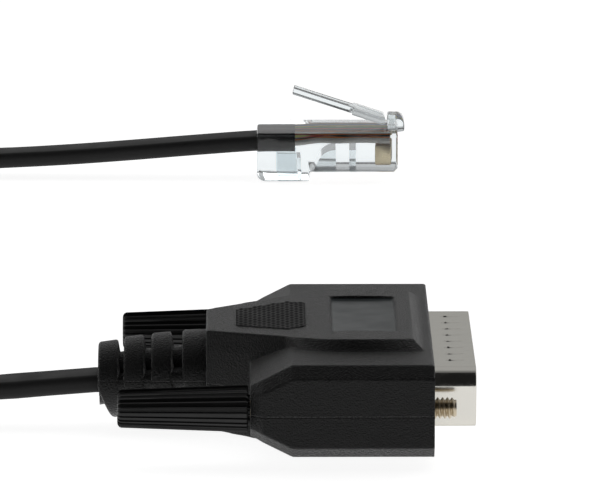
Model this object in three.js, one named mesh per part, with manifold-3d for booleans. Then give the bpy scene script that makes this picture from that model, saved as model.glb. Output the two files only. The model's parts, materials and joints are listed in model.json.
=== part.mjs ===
// A console cable: a moulded 25-way male D-sub connector, a flat black eight-wire cord, and a clear
// eight-way modular plug. Millimetres, +Z up, +X towards the metal shell. The whole cable lies on
// the plane z = 0, and the origin is on that plane under the middle of the moulded connector.
import * as THREE from "three";
import { mergeVertices } from "three/addons/utils/BufferGeometryUtils.js";
import Module from "manifold-3d";

const wasm = await Module();
wasm.setup();

// Clearances
const GAP = 0.3; // between a piece and the curved or moving piece beside it
const SEAT = 0.1; // between flat faces that lie on each other
const HOLE_PLAY = 0.15; // around a pin or a blade in its hole
const OUTSIDE = 1; // how far a cut runs past the face that it opens

// Points along a rounded corner
const CORNER_STEPS = 5;
const FINE_STEPS = 2; // on corners under a millimetre

// Twenty-five pins, thirteen over twelve, and the shell, screws and flange spaced from them
const PINS_PER_ROW = [13, 12];
const PIN_PITCH = 2.77;
const PIN_ROW_HEIGHT = 1.42;
const PIN_RADIUS = 0.5;
const PIN_TIP = 5.0;
const PIN_REAR = -3.9;
const PIN_NOSE = 0.4; // length of the tapered tip
const PIN_NOSE_RADIUS = 0.2;
const PIN_SIDES = 10;
const PIN_TO_SHELL_END = 2.86; // from the last pin's axis to the shell's outside
const SHELL_HALF_WIDTH = ((PINS_PER_ROW[0] - 1) / 2) * PIN_PITCH + PIN_TO_SHELL_END;
const SHELL_TO_SCREW = 4.04;
const SCREW_SPACING = 2 * (SHELL_HALF_WIDTH + SHELL_TO_SCREW);
const FLANGE_EAR = 3; // from each screw's axis to the flange's end
const FLANGE_HALF_WIDTH = SCREW_SPACING / 2 + FLANGE_EAR;
const FLANGE_FRONT = 0;
const FLANGE_THICKNESS = 0.5;
const HOOD_RIM = 0.5; // of the hood around the flange

// Moulded hood, measured from its front edge (x = 0) and its parting plane (z = 0)
const HOOD_HALF_WIDTH = FLANGE_HALF_WIDTH + HOOD_RIM;
const WING_HALF_HEIGHT = 6.2;
const WING_CHAMFER_ACROSS = 1.8;
const WING_CHAMFER_UP = 1.57;
const WING_TAPER_START = 18.7; // how far behind the front the wings start to thin down
const WING_SIDE_END = 22.55;
const WING_END = 24.2;
const WING_SIDE_END_HALF_HEIGHT = 4.25;
const WING_END_HALF_HEIGHT = 3.4;
const WING_END_NARROWING = 1.2;
const WING_END_CHAMFER = 1.2;
const SPINE_HALF_HEIGHT = 7.6; // the raised middle, whose flat underside the hood lies on
const SPINE_WIDEST = 10.2; // where the spine is widest and its crowned top is highest
const SPINE_HALF_WIDTH = 16.2;
const SPINE_CROWN = 7.65;
const SPINE_SHOULDER = 14.9; // where the straight sides of the neck run into the spine's curve
const SHOULDER_HALF_WIDTH = 15.3;
const SHOULDER_HEIGHT = 7.5;
const SPINE_FRONT_TOP = 2.6;
const SPINE_FRONT_HALF_WIDTH = 15.0;
const SPINE_FRONT_HEIGHT = 7.44;
const SPINE_FRONT_FOOT = 1.1;
const SPINE_FOOT_HALF_WIDTH = 17.5; // where the spine's sloping sides meet the wings
const SPINE_FRONT_FOOT_HALF_WIDTH = 16.9;
const FLARE_FRONT = 17.6; // between these two distances the foot draws in to the neck
const FLARE_FRONT_HALF_WIDTH = 16.2;
const FLARE_REAR = 19.5;
const SPINE_SINK = 0.05; // how far the spine's foot lies below the wings' top
const SPINE_REAR_STEPS = 4; // rings along the curve behind the widest place, and ahead of it
const SPINE_FRONT_STEPS = 5;
const NECK_END = 30.2;
const NECK_HALF_WIDTH = 6.6;
const NECK_HALF_HEIGHT = 6.75;
const NECK_KNEE = 4.1; // height of the line where the neck's sides turn upright
const SPINE_KNEE = 4.7;
const KNEE_OUT = 0.45; // how far the knee stands out past the top's edge

// Shallow recess for a label, left bare, on both faces of the spine
const LABEL_FRONT = 4.7;
const LABEL_REAR = 13.3;
const LABEL_HALF_WIDTH = 10.7;
const LABEL_DEPTH = 0.45;

// Slotted strain relief, moulded in one with the hood: oval collars on a flat core, drooping a little
const RELIEF_END = 44.6;
const RELIEF_DROOP = 1.5;
const RELIEF_BEND = 1.4; // power of the droop's curve
const RELIEF_RAKE = 0.38; // how far the lower half leans forward, for each millimetre down
const CORE_HALF_HEIGHT = 1.25;
const CORE_INSET = 0.15;
const CORE_CORNER_STEPS = 3;
const COLLAR_STARTS = [30.6, 34.75, 38.45, 41.9]; // distance of each collar's front face behind x = 0
const COLLAR_LENGTH = 2.7;
const COLLAR_HALF_WIDTHS = [6.2, 6.1, 5.95, 5.8];
const COLLAR_HALF_HEIGHTS = [5.35, 5.3, 5.25, 5.05];
const COLLAR_ROUND = 0.4;
const COLLAR_SIDES = 28;

// Metal front: a flange plate with the D-shaped shell drawn out of it
const FLANGE_HALF_HEIGHT = WING_HALF_HEIGHT - HOOD_RIM;
const SHELL_HEIGHT = 8.36;
const SHELL_FRONT = 5.7;
const SHELL_WALL = 0.45;
const SHELL_CORNER = 2.6;
const SHELL_ROOT = 0.25; // the thickened foot that the shell is drawn out of
const SHELL_SIDE_ANGLE = THREE.MathUtils.degToRad(10);

// Insulator that the pins stand in
const INSULATOR_FRONT = 0.0;
const INSULATOR_REAR = -4.2;

// Thumbscrews
const SHANK_RADIUS = 1.1;
const THREAD_RADIUS = 1.42;
const THREAD_ROOT = 1.08;
const THREAD_PITCH = 0.635;
const THREAD_LEAD = 0.05; // share of a pitch before the first crest rises
const THREAD_START = -2.2;
const THREAD_END = 2.9;
const SCREW_REAR = -33;
const SCREW_SIDES = 14;
const KNOB_FRONT = WING_END + GAP;
const KNOB_LENGTH = 17.2;
const KNOB_FRONT_RADIUS = 3.15;
const KNOB_REAR_RADIUS = 2.5;
const KNOB_RIBS = 24;
const RIB_HEIGHT = 0.22;
const KNOB_ROUND = 0.6;
const KNOB_ROUND_SHARE = 0.3; // of the rounding, at the ring in the middle of its curve

// Flat cord
const CORD_WIDTH = 6.4;
const CORD_THICKNESS = 2.4;
const CORD_CORNER = 0.95;
const RINGS_PER_LEG = 2; // of the cord, between two points of its route

// Coil of the length that is put away: turns on edge, in two layers
const COIL_MIDDLE_RADIUS = 33;
const COIL_TURN_PITCH = 2.5;
const COIL_TURNS_PER_LAYER = 3.5;
const COIL_CENTRE = [-86.7, 85];
const COIL_SEGMENTS = 48;
const COIL_PLAY = 0.1; // around the turns, inside and outside
const COIL_LAYER_GAP = 0.3;

// Modular plug, along its own axis from its rear face; height from the underside of its rear block
const PLUG_REAR = [-3.5, 170]; // where its rear face lies, in the cable's own x and y
const PLUG_LENGTH = 22.0;
const PLUG_HALF_WIDTH = 5.85;
const PLUG_TOP = 7.7;
const PLUG_STEP = 1.5; // how much lower the rear block reaches than the front
const PLUG_STEP_AT = 8.2;
const PLUG_CORNER = 0.5;
const NOSE_START = 20.4;
const NOSE_FRONT = 23.1;
const NOSE_HALF_WIDTH = 2.95;
const NOSE_TOP = 9.55;
const NOSE_FOOT = 7.05;
const NOSE_ROUND = 1.1;
const NOSE_ROUND_SHARE = 0.3; // of the rounding, at the point in the middle of its curve
const NOSE_SINK = 0.6; // how far the nose's foot runs into the body
const NOSE_BACK = 0.5; // how far that foot stays behind the body's front
const JACKET_DEPTH = 6.0; // how far the cord's jacket runs into the plug
const JACKET_MIDDLE = 5.5;
const WIRE_HEIGHT = 6.2;
const WIRE_RADIUS = 0.42;
const WIRE_SIDES = 8;
const WIRE_FRONT = 20.7;
const WAYS = 8;
const WAY_PITCH = 1.02;
const BLADE_THICKNESS = 0.34;
const BLADE_REAR = 18.4;
const BLADE_FRONT = 20.9;
const BLADE_BOTTOM = 2.4;
const BLADE_TOP = WIRE_HEIGHT - WIRE_RADIUS - GAP;
const BAR_REAR = 3.2; // the strain relief bar in the plug's underside
const BAR_FRONT = 6.3;
const BAR_HALF_WIDTH = 2.6;
const BAR_WINDOW = 0.6;
const BAR_WINDOW_TOP = 3.4;
const BELLY_REAR = 8.8; // the hollow in the underside ahead of the step
const BELLY_FRONT = 16.6;
const BELLY_HALF_WIDTH = 3.6;
const BELLY_ROOF = 4.7;
const BELLY_ROOF_LENGTH = 3.2;
const BELLY_RAMP_FOOT = 2.2;

// Latch of the plug
const TAB_THICKNESS = 1.05;
const TAB_WIDE_HALF = 2.9;
const TAB_NARROW_HALF = 1.6;
const TAB_TIP = 5.7;
const TAB_TIP_TOP = 14.1;
const TAB_SHOULDER = 15.0;
const TAB_ROOT = NOSE_START - GAP - TAB_THICKNESS / 2;
const TAB_ROOT_HEIGHT = NOSE_TOP - TAB_THICKNESS / 2;
const ROOT_SIDES = 12;

// How the hood's own frame sits in the cable's frame
const HOOD_MIDDLE = (RELIEF_END - SHELL_FRONT) / 2;
const HOOD_AT = new THREE.Vector3(HOOD_MIDDLE, 0, SPINE_HALF_HEIGHT);

// Colours
const BLACK_PVC = { color: 0x2b2d2e, roughness: 0.62, metalness: 0 };
const KNOB_BLACK = { color: 0x141515, roughness: 0.45, metalness: 0 };
const CORD_BLACK = { color: 0x191a1a, roughness: 0.5, metalness: 0 };
const NICKEL = { color: 0xc9c7c0, roughness: 0.25, metalness: 1 };
const BRONZED_STEEL = { color: 0x6b5f4c, roughness: 0.35, metalness: 1 };
const GOLD = { color: 0xc99a45, roughness: 0.3, metalness: 1 };
const INSULATOR_BLACK = { color: 0x1b1c1d, roughness: 0.5, metalness: 0 };
const CLEAR = { color: 0xdfe4e4, roughness: 0.12, metalness: 0, transparent: true, opacity: 0.4 };
// Wire insulation from the far side of the plug to the near side
const WIRE_COLOURS = [0xe4e2dc, 0x6a4428, 0xd8c23a, 0x4f8f3a, 0xb03325, 0x202020, 0xd9702a, 0x3a6fa8];

// A closed geometry as a solid for cutting and joining.
function solid(geometry) {
  const bare = geometry.clone();
  for (const name of ["normal", "uv"]) bare.deleteAttribute(name);
  const merged = mergeVertices(bare, 1e-4);
  return new wasm.Manifold(
    new wasm.Mesh({
      numProp: 3,
      vertProperties: new Float32Array(merged.attributes.position.array),
      triVerts: new Uint32Array(merged.index.array),
    }),
  );
}

// The solid's surface as a geometry.
function surface(made) {
  const mesh = made.getMesh();
  const geometry = new THREE.BufferGeometry();
  geometry.setAttribute("position", new THREE.BufferAttribute(mesh.vertProperties, 3));
  geometry.setIndex(new THREE.BufferAttribute(mesh.triVerts, 1));
  const flat = geometry.toNonIndexed();
  flat.computeVertexNormals();
  return flat;
}

// A closed skin over rings of points, each ring in the same order and turning left about the way ahead.
function loft(rings) {
  const count = rings[0].length;
  const positions = rings.flat().flatMap((p) => [p.x, p.y, p.z]);
  const index = [];
  for (let r = 0; r + 1 < rings.length; r++) {
    for (let i = 0; i < count; i++) {
      const j = (i + 1) % count;
      const [a, b, c, d] = [r * count + i, r * count + j, (r + 1) * count + j, (r + 1) * count + i];
      index.push(a, b, c, a, c, d);
    }
  }
  for (const [start, turned] of [[0, true], [(rings.length - 1) * count, false]]) {
    const middle = positions.length / 3;
    const centre = new THREE.Vector3();
    for (let i = 0; i < count; i++) centre.add(new THREE.Vector3().fromArray(positions, 3 * (start + i)));
    centre.divideScalar(count);
    positions.push(centre.x, centre.y, centre.z);
    for (let i = 0; i < count; i++) {
      const j = (i + 1) % count;
      index.push(middle, start + (turned ? j : i), start + (turned ? i : j));
    }
  }
  const geometry = new THREE.BufferGeometry();
  geometry.setAttribute("position", new THREE.BufferAttribute(new Float32Array(positions), 3));
  geometry.setIndex(index);
  return geometry;
}

// A polygon of [across, up] corners with every corner rounded by an arc.
function rounded(corners, radius, steps = CORNER_STEPS) {
  const points = [];
  corners.forEach(([x, y], i) => {
    const here = new THREE.Vector2(x, y);
    const before = new THREE.Vector2(...corners.at(i - 1)).sub(here).normalize();
    const after = new THREE.Vector2(...corners[(i + 1) % corners.length]).sub(here).normalize();
    const half = Math.acos(THREE.MathUtils.clamp(before.dot(after), -1, 1)) / 2;
    const inward = before.clone().add(after).normalize();
    const centre = here.clone().addScaledVector(inward, radius / Math.sin(half));
    const from = here.clone().addScaledVector(before, radius / Math.tan(half)).sub(centre);
    const turn = Math.PI - 2 * half;
    for (let s = 0; s <= steps; s++) {
      const arm = from.clone().rotateAround(new THREE.Vector2(), (turn * s) / steps);
      points.push(centre.clone().add(arm));
    }
  });
  return points;
}

const rectangle = (halfWidth, low, high) => [
  [-halfWidth, low],
  [halfWidth, low],
  [halfWidth, high],
  [-halfWidth, high],
];

const asVectors = (corners) => corners.map(([x, y]) => new THREE.Vector2(x, y));

// Stands a section of (across, up) points in the y-z plane at x.
const ringAt = (x, section) => section.map((p) => new THREE.Vector3(x, p.x, p.y));

const ALONG_X = new THREE.Matrix4().makeBasis(
  new THREE.Vector3(0, 1, 0),
  new THREE.Vector3(0, 0, 1),
  new THREE.Vector3(1, 0, 0),
);

// A section of (across, up) points drawn out along x.
function prism(section, from, to) {
  const extruded = new THREE.ExtrudeGeometry(new THREE.Shape(section), {
    depth: to - from,
    bevelEnabled: false,
  });
  return extruded.applyMatrix4(ALONG_X).translate(from, 0, 0);
}

// A profile of (along, up) points drawn out across y, as a plate's side view.
function slabAcross(profile, halfWidth) {
  const extruded = new THREE.ExtrudeGeometry(new THREE.Shape(profile), {
    depth: 2 * halfWidth,
    bevelEnabled: false,
  });
  return extruded.rotateX(Math.PI / 2).translate(0, halfWidth, 0);
}

function box(x0, x1, halfWidth, z0, z1) {
  const geometry = new THREE.BoxGeometry(x1 - x0, 2 * halfWidth, z1 - z0);
  return geometry.translate((x0 + x1) / 2, 0, (z0 + z1) / 2);
}

// A turned piece about the x axis, from a profile of [along, radius] points.
function turned(profile, sides) {
  const points = profile.map(([along, radius]) => new THREE.Vector2(radius, along));
  return new THREE.LatheGeometry(points, sides).rotateZ(-Math.PI / 2);
}

const rod = (radius, from, to, sides) => turned([[from, 0], [from, radius], [to, radius], [to, 0]], sides);

const union = (solids) => solids.reduce((all, next) => all.add(next));
const without = (body, cuts) => cuts.reduce((left, cut) => left.subtract(cut), body);

// Hood

function wingSection(halfWidth, halfHeight, across, up) {
  const [w, h] = [halfWidth, halfHeight];
  return asVectors([
    [w, -(h - up)],
    [w, h - up],
    [w - across, h],
    [-(w - across), h],
    [-w, h - up],
    [-w, -(h - up)],
    [-(w - across), -h],
    [w - across, -h],
  ]);
}

function wings() {
  const full = wingSection(HOOD_HALF_WIDTH, WING_HALF_HEIGHT, WING_CHAMFER_ACROSS, WING_CHAMFER_UP);
  const sideEnd = wingSection(
    HOOD_HALF_WIDTH, WING_SIDE_END_HALF_HEIGHT, WING_CHAMFER_ACROSS, WING_CHAMFER_UP,
  );
  const end = wingSection(
    HOOD_HALF_WIDTH - WING_END_NARROWING, WING_END_HALF_HEIGHT, WING_END_CHAMFER, WING_END_CHAMFER,
  );
  return loft([
    ringAt(-WING_END, end),
    ringAt(-WING_SIDE_END, sideEnd),
    ringAt(-WING_TAPER_START, full),
    ringAt(0, full),
  ]);
}

// Half width and height of the spine's top at a distance behind the front: straight along the neck,
// then curved to its widest place and in again.
function spineTop(behind) {
  if (behind >= SPINE_SHOULDER) {
    const share = (behind - SPINE_SHOULDER) / (NECK_END - SPINE_SHOULDER);
    return [
      THREE.MathUtils.lerp(SHOULDER_HALF_WIDTH, NECK_HALF_WIDTH, share),
      THREE.MathUtils.lerp(SHOULDER_HEIGHT, NECK_HALF_HEIGHT, share),
    ];
  }
  const [end, halfWidth, height] = behind > SPINE_WIDEST
    ? [SPINE_SHOULDER, SHOULDER_HALF_WIDTH, SHOULDER_HEIGHT]
    : [SPINE_FRONT_TOP, SPINE_FRONT_HALF_WIDTH, SPINE_FRONT_HEIGHT];
  const bend = ((behind - SPINE_WIDEST) / (end - SPINE_WIDEST)) ** 2;
  return [
    THREE.MathUtils.lerp(SPINE_HALF_WIDTH, halfWidth, bend),
    THREE.MathUtils.lerp(SPINE_CROWN, height, bend),
  ];
}

// The spine and neck in section, from [half width, height] pairs of the top's edge, the foot and the knee.
function spineSection([topHalf, top], bottom, [footHalf, foot], [kneeHalf, knee]) {
  return asVectors([
    [kneeHalf, -knee],
    [kneeHalf, knee],
    [footHalf, foot],
    [topHalf, top],
    [-topHalf, top],
    [-footHalf, foot],
    [-kneeHalf, knee],
    [-kneeHalf, -knee],
    [-footHalf, -foot],
    [-topHalf, -bottom],
    [topHalf, -bottom],
    [footHalf, -foot],
  ]);
}

function neckRing(behind) {
  const top = spineTop(behind);
  const share = (NECK_END - behind) / (NECK_END - FLARE_REAR);
  const knee = [top[0] + KNEE_OUT, THREE.MathUtils.lerp(NECK_KNEE, SPINE_KNEE, share)];
  const foot = [top[0] + KNEE_OUT / 2, (top[1] + knee[1]) / 2];
  const flat = (NECK_END - behind) / (NECK_END - WING_TAPER_START);
  const bottom = THREE.MathUtils.lerp(NECK_HALF_HEIGHT, SPINE_HALF_HEIGHT, flat);
  return ringAt(-behind, spineSection(top, bottom, foot, knee));
}

const SPINE_FOOT = WING_HALF_HEIGHT - SPINE_SINK;

function spineRing(behind) {
  const drawnIn = Math.max((behind - SPINE_WIDEST) / (FLARE_FRONT - SPINE_WIDEST), 0) ** 2;
  const footHalf = THREE.MathUtils.lerp(SPINE_FOOT_HALF_WIDTH, FLARE_FRONT_HALF_WIDTH, drawnIn);
  return ringAt(-behind, spineSection(
    spineTop(behind), SPINE_HALF_HEIGHT, [footHalf, SPINE_FOOT], [footHalf, SPINE_KNEE],
  ));
}

function spine() {
  const curved = [];
  for (const [from, to, steps] of [
    [SPINE_SHOULDER, SPINE_WIDEST, SPINE_REAR_STEPS],
    [SPINE_WIDEST, SPINE_FRONT_TOP, SPINE_FRONT_STEPS],
  ]) {
    for (let i = 0; i < steps; i++) curved.push(THREE.MathUtils.lerp(from, to, i / steps));
  }
  const front = ringAt(-SPINE_FRONT_FOOT, spineSection(
    [SPINE_FRONT_FOOT_HALF_WIDTH - KNEE_OUT, SPINE_FOOT], SPINE_FOOT,
    [SPINE_FRONT_FOOT_HALF_WIDTH, SPINE_FOOT - SPINE_SINK], [SPINE_FRONT_FOOT_HALF_WIDTH, SPINE_KNEE],
  ));
  return loft([
    neckRing(NECK_END), neckRing(FLARE_REAR), spineRing(FLARE_FRONT),
    ...curved.map(spineRing), spineRing(SPINE_FRONT_TOP), front,
  ]);
}

// How far the strain relief has sunk at a distance behind the front.
function droop(behind) {
  const along = THREE.MathUtils.clamp((behind - NECK_END) / (RELIEF_END - NECK_END), 0, 1);
  return RELIEF_DROOP * along ** RELIEF_BEND;
}

// An oval ring of the strain relief, whose lower half leans forward.
function collarRing(behind, halfWidth, halfHeight) {
  const sunk = droop(behind);
  return Array.from({ length: COLLAR_SIDES }, (_, i) => {
    const angle = (2 * Math.PI * (i + 0.5)) / COLLAR_SIDES;
    const up = halfHeight * Math.sin(angle);
    const lean = RELIEF_RAKE * Math.max(-up, 0);
    return new THREE.Vector3(lean - behind, halfWidth * Math.cos(angle), up - sunk);
  });
}

function strainRelief() {
  const inside = NECK_END - COLLAR_LENGTH;
  const reliefShare = (x) => (x - COLLAR_STARTS[0]) / (RELIEF_END - COLLAR_STARTS[0]);
  const coreHalf = (x) => {
    const share = THREE.MathUtils.clamp(reliefShare(x), 0, 1);
    return THREE.MathUtils.lerp(COLLAR_HALF_WIDTHS[0], COLLAR_HALF_WIDTHS.at(-1), share) - CORE_INSET;
  };
  const stations = [inside, ...COLLAR_STARTS, RELIEF_END - CORE_INSET];
  const core = stations.map((x) => {
    const corners = rectangle(coreHalf(x), -CORE_HALF_HEIGHT - droop(x), CORE_HALF_HEIGHT - droop(x));
    return ringAt(-x, rounded(corners, CORE_HALF_HEIGHT - CORE_INSET, CORE_CORNER_STEPS));
  });
  const collars = COLLAR_STARTS.map((start, i) => {
    const [halfWidth, halfHeight] = [COLLAR_HALF_WIDTHS[i], COLLAR_HALF_HEIGHTS[i]];
    const ring = (x, inset) => collarRing(x, halfWidth - inset, halfHeight - inset);
    const front = i ? start : inside;
    return solid(loft([
      ring(start + COLLAR_LENGTH, COLLAR_ROUND),
      ring(start + COLLAR_LENGTH - COLLAR_ROUND, 0),
      ring(front + COLLAR_ROUND, 0),
      ring(front, COLLAR_ROUND),
    ]));
  });
  return union([solid(loft(core.reverse())), ...collars]);
}

function labelRecess(up) {
  const outside = SPINE_CROWN + OUTSIDE;
  const cut = box(-LABEL_REAR, -LABEL_FRONT, LABEL_HALF_WIDTH, SPINE_HALF_HEIGHT - LABEL_DEPTH, outside);
  return solid(up ? cut : cut.rotateX(Math.PI));
}

const screwSides = [["near", -1], ["far", 1]];

// A rod along each thumbscrew's axis.
const screwRods = (radius, from, to) => screwSides.map(([, side]) =>
  solid(rod(radius, from, to, SCREW_SIDES).translate(0, (side * SCREW_SPACING) / 2, 0)),
);

const flangeSection = (play) => wingSection(
  FLANGE_HALF_WIDTH + play, FLANGE_HALF_HEIGHT + play, WING_CHAMFER_ACROSS, WING_CHAMFER_UP,
);

function hood() {
  const front = FLANGE_FRONT + OUTSIDE;
  const flangeSeat = prism(flangeSection(SEAT), FLANGE_FRONT - FLANGE_THICKNESS - SEAT, front);
  const pocket = prism(dOutline(SHELL_WALL), INSULATOR_REAR - GAP, front);
  const bores = [
    ...screwRods(THREAD_RADIUS + GAP, THREAD_START - GAP, front),
    ...screwRods(SHANK_RADIUS + GAP, -WING_END - OUTSIDE, THREAD_START),
  ];
  const body = union([solid(wings()), solid(spine()), strainRelief()]);
  return surface(without(
    body, [solid(flangeSeat), solid(pocket), ...bores, labelRecess(true), labelRecess(false)],
  ));
}

// Metal front and pins

// The D outline, drawn in from the shell's outside by inset.
function dOutline(inset) {
  const [tan, cos] = [Math.tan(SHELL_SIDE_ANGLE), Math.cos(SHELL_SIDE_ANGLE)];
  const half = SHELL_HEIGHT / 2;
  const halfWidthAt = (z) => SHELL_HALF_WIDTH - (half - z) * tan - inset / cos;
  const [low, high] = [-half + inset, half - inset];
  const corners = [
    [-halfWidthAt(low), low],
    [halfWidthAt(low), low],
    [halfWidthAt(high), high],
    [-halfWidthAt(high), high],
  ];
  return rounded(corners, SHELL_CORNER - inset);
}

function metalShell() {
  const rear = FLANGE_FRONT - FLANGE_THICKNESS;
  const plate = solid(prism(flangeSection(0), rear, FLANGE_FRONT));
  const root = solid(prism(dOutline(-SHELL_ROOT), rear, FLANGE_FRONT + SHELL_ROOT));
  const cup = solid(prism(dOutline(0), rear, SHELL_FRONT));
  const opening = solid(prism(dOutline(SHELL_WALL), rear - OUTSIDE, SHELL_FRONT + OUTSIDE));
  const holes = screwRods(THREAD_RADIUS + GAP, rear - OUTSIDE, FLANGE_FRONT + OUTSIDE);
  return surface(without(union([plate, root, cup]), [opening, ...holes]));
}

const pinPlaces = PINS_PER_ROW.flatMap((count, row) =>
  Array.from({ length: count }, (_, i) => [
    ((count - 1) / 2 - i) * PIN_PITCH,
    row ? -PIN_ROW_HEIGHT : PIN_ROW_HEIGHT,
  ]),
);

function insulator() {
  const block = solid(prism(dOutline(SHELL_WALL + GAP), INSULATOR_REAR, INSULATOR_FRONT));
  const holes = pinPlaces.map(([y, z]) =>
    solid(rod(PIN_RADIUS + HOLE_PLAY, INSULATOR_REAR - OUTSIDE, INSULATOR_FRONT + OUTSIDE, PIN_SIDES)
      .translate(0, y, z)),
  );
  return surface(without(block, holes));
}

function pin() {
  const shaft = [[PIN_REAR, 0], [PIN_REAR, PIN_RADIUS], [PIN_TIP - PIN_NOSE, PIN_RADIUS]];
  return turned([...shaft, [PIN_TIP, PIN_NOSE_RADIUS], [PIN_TIP, 0]], PIN_SIDES);
}

// Thumbscrews

function screw() {
  const profile = [[SCREW_REAR, 0], [SCREW_REAR, SHANK_RADIUS], [THREAD_START, SHANK_RADIUS]];
  const turns = Math.floor((THREAD_END - THREAD_START) / THREAD_PITCH);
  for (let i = 0; i < turns; i++) {
    const root = THREAD_START + (i + THREAD_LEAD) * THREAD_PITCH;
    profile.push([root, THREAD_ROOT], [root + THREAD_PITCH / 2, THREAD_RADIUS]);
  }
  profile.push([THREAD_END, THREAD_ROOT], [THREAD_END, 0]);
  return turned(profile, SCREW_SIDES);
}

function knob() {
  const rib = (radius) =>
    Array.from({ length: 2 * KNOB_RIBS }, (_, i) => {
      const angle = (Math.PI * (i + 0.5)) / KNOB_RIBS;
      const reach = radius - (i % 2 ? RIB_HEIGHT : 0);
      return new THREE.Vector2(reach * Math.cos(angle), reach * Math.sin(angle));
    });
  const rear = KNOB_FRONT + KNOB_LENGTH;
  const body = loft([
    ringAt(-rear, rib(KNOB_REAR_RADIUS - KNOB_ROUND)),
    ringAt(-rear + KNOB_ROUND_SHARE * KNOB_ROUND, rib(KNOB_REAR_RADIUS - KNOB_ROUND_SHARE * KNOB_ROUND)),
    ringAt(-rear + KNOB_ROUND, rib(KNOB_REAR_RADIUS)),
    ringAt(-KNOB_FRONT, rib(KNOB_FRONT_RADIUS)),
  ]);
  const bore = rod(SHANK_RADIUS + GAP, SCREW_REAR - GAP, OUTSIDE - KNOB_FRONT, SCREW_SIDES);
  return surface(without(solid(body), [solid(bore)]));
}

// Cord

// The way from the strain relief to the coil: [x, y, z, turn], where turn is how far the flat cord
// has rolled from lying flat (0) to standing on its edge (90).
const HOOD_SIDE_ROUTE = [
  [-25.55, 0, 6.1, 0],
  [-32, 0, 5.6, 0],
  [-38.5, 0, 5.1, 0],
  [-46, 0, 4.7, 12],
  [-54, 0, 4.4, 30],
  [-63, 0, 4.1, 50],
  [-72, 0, 3.8, 68],
  [-82, 0, 3.5, 82],
  [-92, 0.3, 3.3, 90],
  [-101, 2.2, 3.3, 90],
  [-110, 6.8, 3.3, 90],
  [-117, 13.5, 3.3, 90],
  [-121.8, 22.5, 3.3, 90],
  [-123.7, 33, 3.3, 90],
  [-124.1, 44, 3.3, 90],
  [-124.1, 56, 3.3, 90],
  [-124.1, 70.4, 3.3, 90],
];

// The way from the coil to the plug.
const PLUG_SIDE_ROUTE = [
  [-124.1, 99.6, 9.7, 90],
  [-124.1, 112, 8.5, 90],
  [-122.8, 124.5, 6.9, 90],
  [-119.6, 136, 5.5, 90],
  [-114, 147, 4.4, 90],
  [-106, 156.5, 3.7, 88],
  [-96, 163.6, 3.6, 80],
  [-85, 168, 3.6, 62],
  [-74, 169.7, 3.3, 42],
  [-63, 170, 2.7, 22],
  [-53, 170, 2.5, 6],
  [-44, 170, 2.7, 0],
  [-34, 170, 3.2, 0],
  [-24, 170, 3.9, 0],
  [-14, 170, 4.7, 0],
  [-6, 170, 5.3, 0],
  [-2, 170, 5.5, 0],
  [2.5, 170, 5.5, 0],
];

function flatCord(route) {
  const path = new THREE.CatmullRomCurve3(route.map(([x, y, z]) => new THREE.Vector3(x, y, z)));
  const steps = RINGS_PER_LEG * (route.length - 1);
  const halfThickness = CORD_THICKNESS / 2;
  const section = rounded(rectangle(CORD_WIDTH / 2, -halfThickness, halfThickness), CORD_CORNER, FINE_STEPS);
  const rings = Array.from({ length: steps + 1 }, (_, s) => {
    const here = path.getPoint(s / steps);
    const ahead = path.getTangent(s / steps);
    const leg = s / RINGS_PER_LEG;
    const from = Math.min(Math.floor(leg), route.length - 2);
    const turn = THREE.MathUtils.lerp(route[from][3], route[from + 1][3], leg - from);
    const left = new THREE.Vector3(0, 0, 1).cross(ahead).normalize();
    const up = ahead.clone().cross(left);
    const spin = new THREE.Quaternion().setFromAxisAngle(ahead, THREE.MathUtils.degToRad(turn));
    left.applyQuaternion(spin);
    up.applyQuaternion(spin);
    return section.map((p) => here.clone().addScaledVector(left, p.x).addScaledVector(up, p.y));
  });
  return loft(rings);
}

function coil() {
  const reach = (COIL_TURNS_PER_LAYER * COIL_TURN_PITCH + CORD_THICKNESS) / 2 + COIL_PLAY;
  const [inner, outer] = [COIL_MIDDLE_RADIUS - reach, COIL_MIDDLE_RADIUS + reach];
  const height = 2 * CORD_WIDTH + COIL_LAYER_GAP;
  const profile = [
    [inner, 0],
    [outer, 0],
    [outer, height],
    [inner, height],
    [inner, 0],
  ];
  return new THREE.LatheGeometry(asVectors(profile), COIL_SEGMENTS).rotateX(Math.PI / 2);
}

// Modular plug

const wayPlaces = Array.from({ length: WAYS }, (_, i) => ((WAYS - 1) / 2 - i) * WAY_PITCH);

function noseSide() {
  const foot = NOSE_FOOT - NOSE_SINK;
  const eased = NOSE_ROUND_SHARE * NOSE_ROUND;
  return asVectors([
    [NOSE_START, foot],
    [PLUG_LENGTH - NOSE_BACK, foot],
    [NOSE_FRONT, NOSE_FOOT],
    [NOSE_FRONT, NOSE_TOP - NOSE_ROUND],
    [NOSE_FRONT - eased, NOSE_TOP - eased],
    [NOSE_FRONT - NOSE_ROUND, NOSE_TOP],
    [NOSE_START, NOSE_TOP],
  ]);
}

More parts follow.
